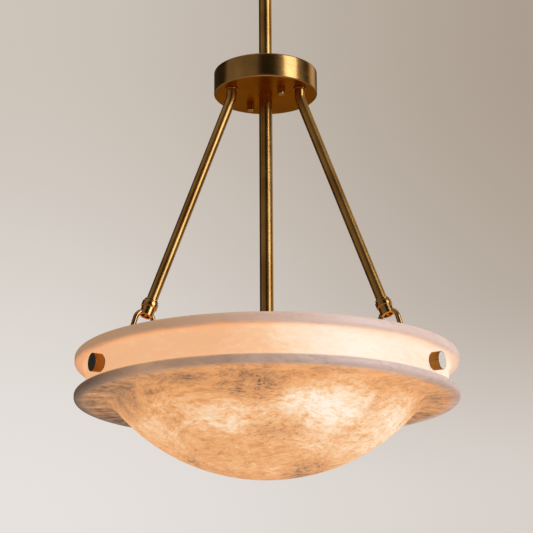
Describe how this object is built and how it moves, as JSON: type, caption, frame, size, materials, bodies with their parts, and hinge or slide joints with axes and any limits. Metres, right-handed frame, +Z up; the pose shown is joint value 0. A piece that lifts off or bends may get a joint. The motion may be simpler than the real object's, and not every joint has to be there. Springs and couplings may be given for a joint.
{
  "type": "alabaster bowl pendant",
  "caption": "Ceiling pendant with a lit alabaster bowl hung by links from a brass hub with curved arms, on a stem with a swivel.",
  "frame": {"origin": "centre of the ceiling crossbar, on its upper face, which lies on the ceiling plane", "axes": "+Z up along the stem, -Y towards the front of the bowl, one arm points along +Y"},
  "size_m": [0.4572, 0.4572, 0.8264],
  "materials": {
    "aged_brass": "satin",
    "zinc_steel": "satin",
    "alabaster": "satin",
    "soft_pad": "matte",
    "holder_porcelain": "gloss",
    "bulb_cap": "satin",
    "bulb_glass": "gloss"
  },
  "bodies": {
    "ceiling_fixing": {"ceiling_crossbar": "zinc_steel", "swivel_nipple": "zinc_steel", "nipple_lock_nut": "zinc_steel", "swivel_upper_yoke": "zinc_steel", "swivel_upper_pin": "zinc_steel", "canopy": "aged_brass", "canopy_screws": "zinc_steel", "canopy_cap_nuts": "aged_brass"},
    "swivel": {"swivel_block": "zinc_steel"},
    "pendant": {"arm_back": "aged_brass", "arm_collars": "aged_brass", "arm_left": "aged_brass", "arm_lock_nuts": "zinc_steel", "arm_right": "aged_brass", "bulb_caps": "bulb_cap", "bulb_glass_1": "bulb_glass", "bulb_glass_2": "bulb_glass", "bulb_glass_3": "bulb_glass", "centre_rod": "aged_brass", "collar_set_screw": "zinc_steel", "hub_cap_nuts": "aged_brass", "hub_coupling": "zinc_steel", "hub_lock_ring": "aged_brass", "hub_plate": "aged_brass", "hub_shell": "aged_brass", "hub_studs": "zinc_steel", "lamp_cluster_body": "aged_brass", "lamp_cluster_cover": "aged_brass", "lamp_cluster_finial": "aged_brass", "lamp_holder_1": "holder_porcelain", "lamp_holder_2": "holder_porcelain", "lamp_holder_3": "holder_porcelain", "stem": "aged_brass", "stem_collar": "aged_brass", "swivel_lower_pin": "zinc_steel", "swivel_lower_yoke": "zinc_steel", "tip_eye_back": "aged_brass", "tip_eye_left": "aged_brass", "tip_eye_right": "aged_brass", "tip_screws": "aged_brass", "tip_socket_back": "aged_brass", "tip_socket_left": "aged_brass", "tip_socket_right": "aged_brass"},
    "bowl": {"alabaster_bowl": "alabaster", "outer_pads": "soft_pad", "inner_pads": "soft_pad", "inner_washers": "zinc_steel", "clamp_nuts": "zinc_steel", "end_nuts": "zinc_steel", "bowl_bolt_left": "zinc_steel", "bowl_bolt_right": "zinc_steel", "bowl_bolt_back": "zinc_steel", "bowl_knob_left": "aged_brass", "bowl_knob_right": "aged_brass", "bowl_knob_back": "aged_brass"},
    "link_left": {"link_left": "aged_brass"},
    "link_right": {"link_right": "aged_brass"},
    "link_back": {"link_back": "aged_brass"}
  },
  "joints": [
    {"name": "hang_tilt_front_back", "type": "hinge", "parent": "ceiling_fixing", "child": "swivel", "pos_m": [0, 0, -0.018], "axis": [1, 0, 0], "range_deg": [-6, 6]},
    {"name": "hang_tilt_left_right", "type": "hinge", "parent": "swivel", "child": "pendant", "pos_m": [0, 0, -0.03], "axis": [0, 1, 0], "range_deg": [-6, 6]},
    {"name": "bowl_twist", "type": "hinge", "parent": "pendant", "child": "bowl", "pos_m": [0, 0, -0.71215], "axis": [0, 0, 1], "range_deg": [-2.5, 2.5], "stiffness_Nm_per_rad": 34.3},
    {"name": "link_swing_left", "type": "hinge", "parent": "pendant", "child": "link_left", "pos_m": [-0.13844, -0.07993, -0.64576], "axis": [-0.8077, -0.4663, 0.3609], "range_deg": [-7, 7]},
    {"name": "link_swing_right", "type": "hinge", "parent": "pendant", "child": "link_right", "pos_m": [0.13844, -0.07993, -0.64576], "axis": [0.8077, -0.4663, 0.3609], "range_deg": [-7, 7]},
    {"name": "link_swing_back", "type": "hinge", "parent": "pendant", "child": "link_back", "pos_m": [0, 0.15985, -0.64576], "axis": [0, 0.9326, 0.3609], "range_deg": [-7, 7]}
  ],
  "couplings": [
    {"joint": "link_swing_left", "follows": "bowl_twist", "ratio": 2.602},
    {"joint": "link_swing_right", "follows": "bowl_twist", "ratio": 2.602},
    {"joint": "link_swing_back", "follows": "bowl_twist", "ratio": 2.602}
  ]
}
